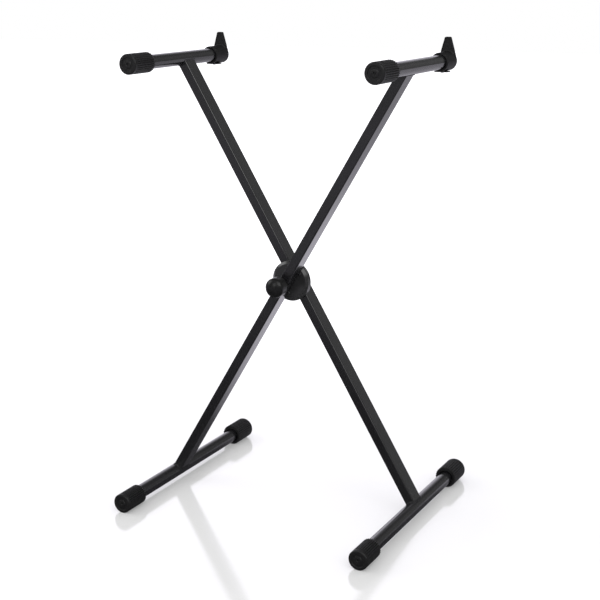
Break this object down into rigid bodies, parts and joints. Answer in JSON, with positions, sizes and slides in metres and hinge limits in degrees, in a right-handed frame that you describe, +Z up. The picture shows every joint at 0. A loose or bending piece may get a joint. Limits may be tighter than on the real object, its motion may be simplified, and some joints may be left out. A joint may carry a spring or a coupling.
{
  "type": "keyboard stand",
  "caption": "Folding X-frame keyboard stand with crossed tube arms, a toothed hub with a pull knob, ribbed rubber feet and grips, and finned stops behind the supports.",
  "frame": {"origin": "On the floor, midway between the four feet", "axes": "+X to the right seen from the player's side, +Y away from the player, +Z up"},
  "size_m": [0.583, 0.4974, 0.9482],
  "materials": {
    "frame_coat": "satin black powder coat",
    "cap_rubber": "matte moulded",
    "stop_plastic": "matte moulded",
    "knob_plastic": "satin moulded",
    "plain_steel": "plain machined",
    "black_steel": "black oxide"
  },
  "bodies": {
    "front_frame": {"front_arm": "frame_coat", "left_foot_tube": "frame_coat", "left_front_foot_cap": "cap_rubber", "left_rear_foot_cap": "cap_rubber", "right_support_tube": "frame_coat", "right_grip": "cap_rubber", "right_stop": "stop_plastic", "right_stop_screw": "black_steel", "front_clutch_cup": "frame_coat", "pivot_sleeve": "plain_steel", "pivot_nut": "black_steel", "arm_spacer": "plain_steel", "thrust_washer": "black_steel", "bore_plug": "knob_plastic", "lock_spring": "plain_steel"},
    "rear_frame": {"rear_arm": "frame_coat", "right_foot_tube": "frame_coat", "right_front_foot_cap": "cap_rubber", "right_rear_foot_cap": "cap_rubber", "left_support_tube": "frame_coat", "left_grip": "cap_rubber", "left_stop": "stop_plastic", "left_stop_screw": "black_steel", "rear_clutch_cup": "frame_coat"},
    "lock": {"lock_knob": "knob_plastic", "plunger_rod": "plain_steel", "cross_pin": "plain_steel", "lock_star": "plain_steel"}
  },
  "joints": [
    {"name": "fold", "type": "hinge", "parent": "front_frame", "child": "rear_frame", "pos_m": [0, -0.0025, 0.46837], "axis": [0, 1, 0], "range_deg": [-48, 54]},
    {"name": "lock_pull", "type": "slide", "parent": "front_frame", "child": "lock", "axis": [0, -1, 0], "range_m": [0, 0.003], "stiffness_N_per_m": 2000, "springref_m": -0.01, "deforming": ["lock_spring"]}
  ]
}
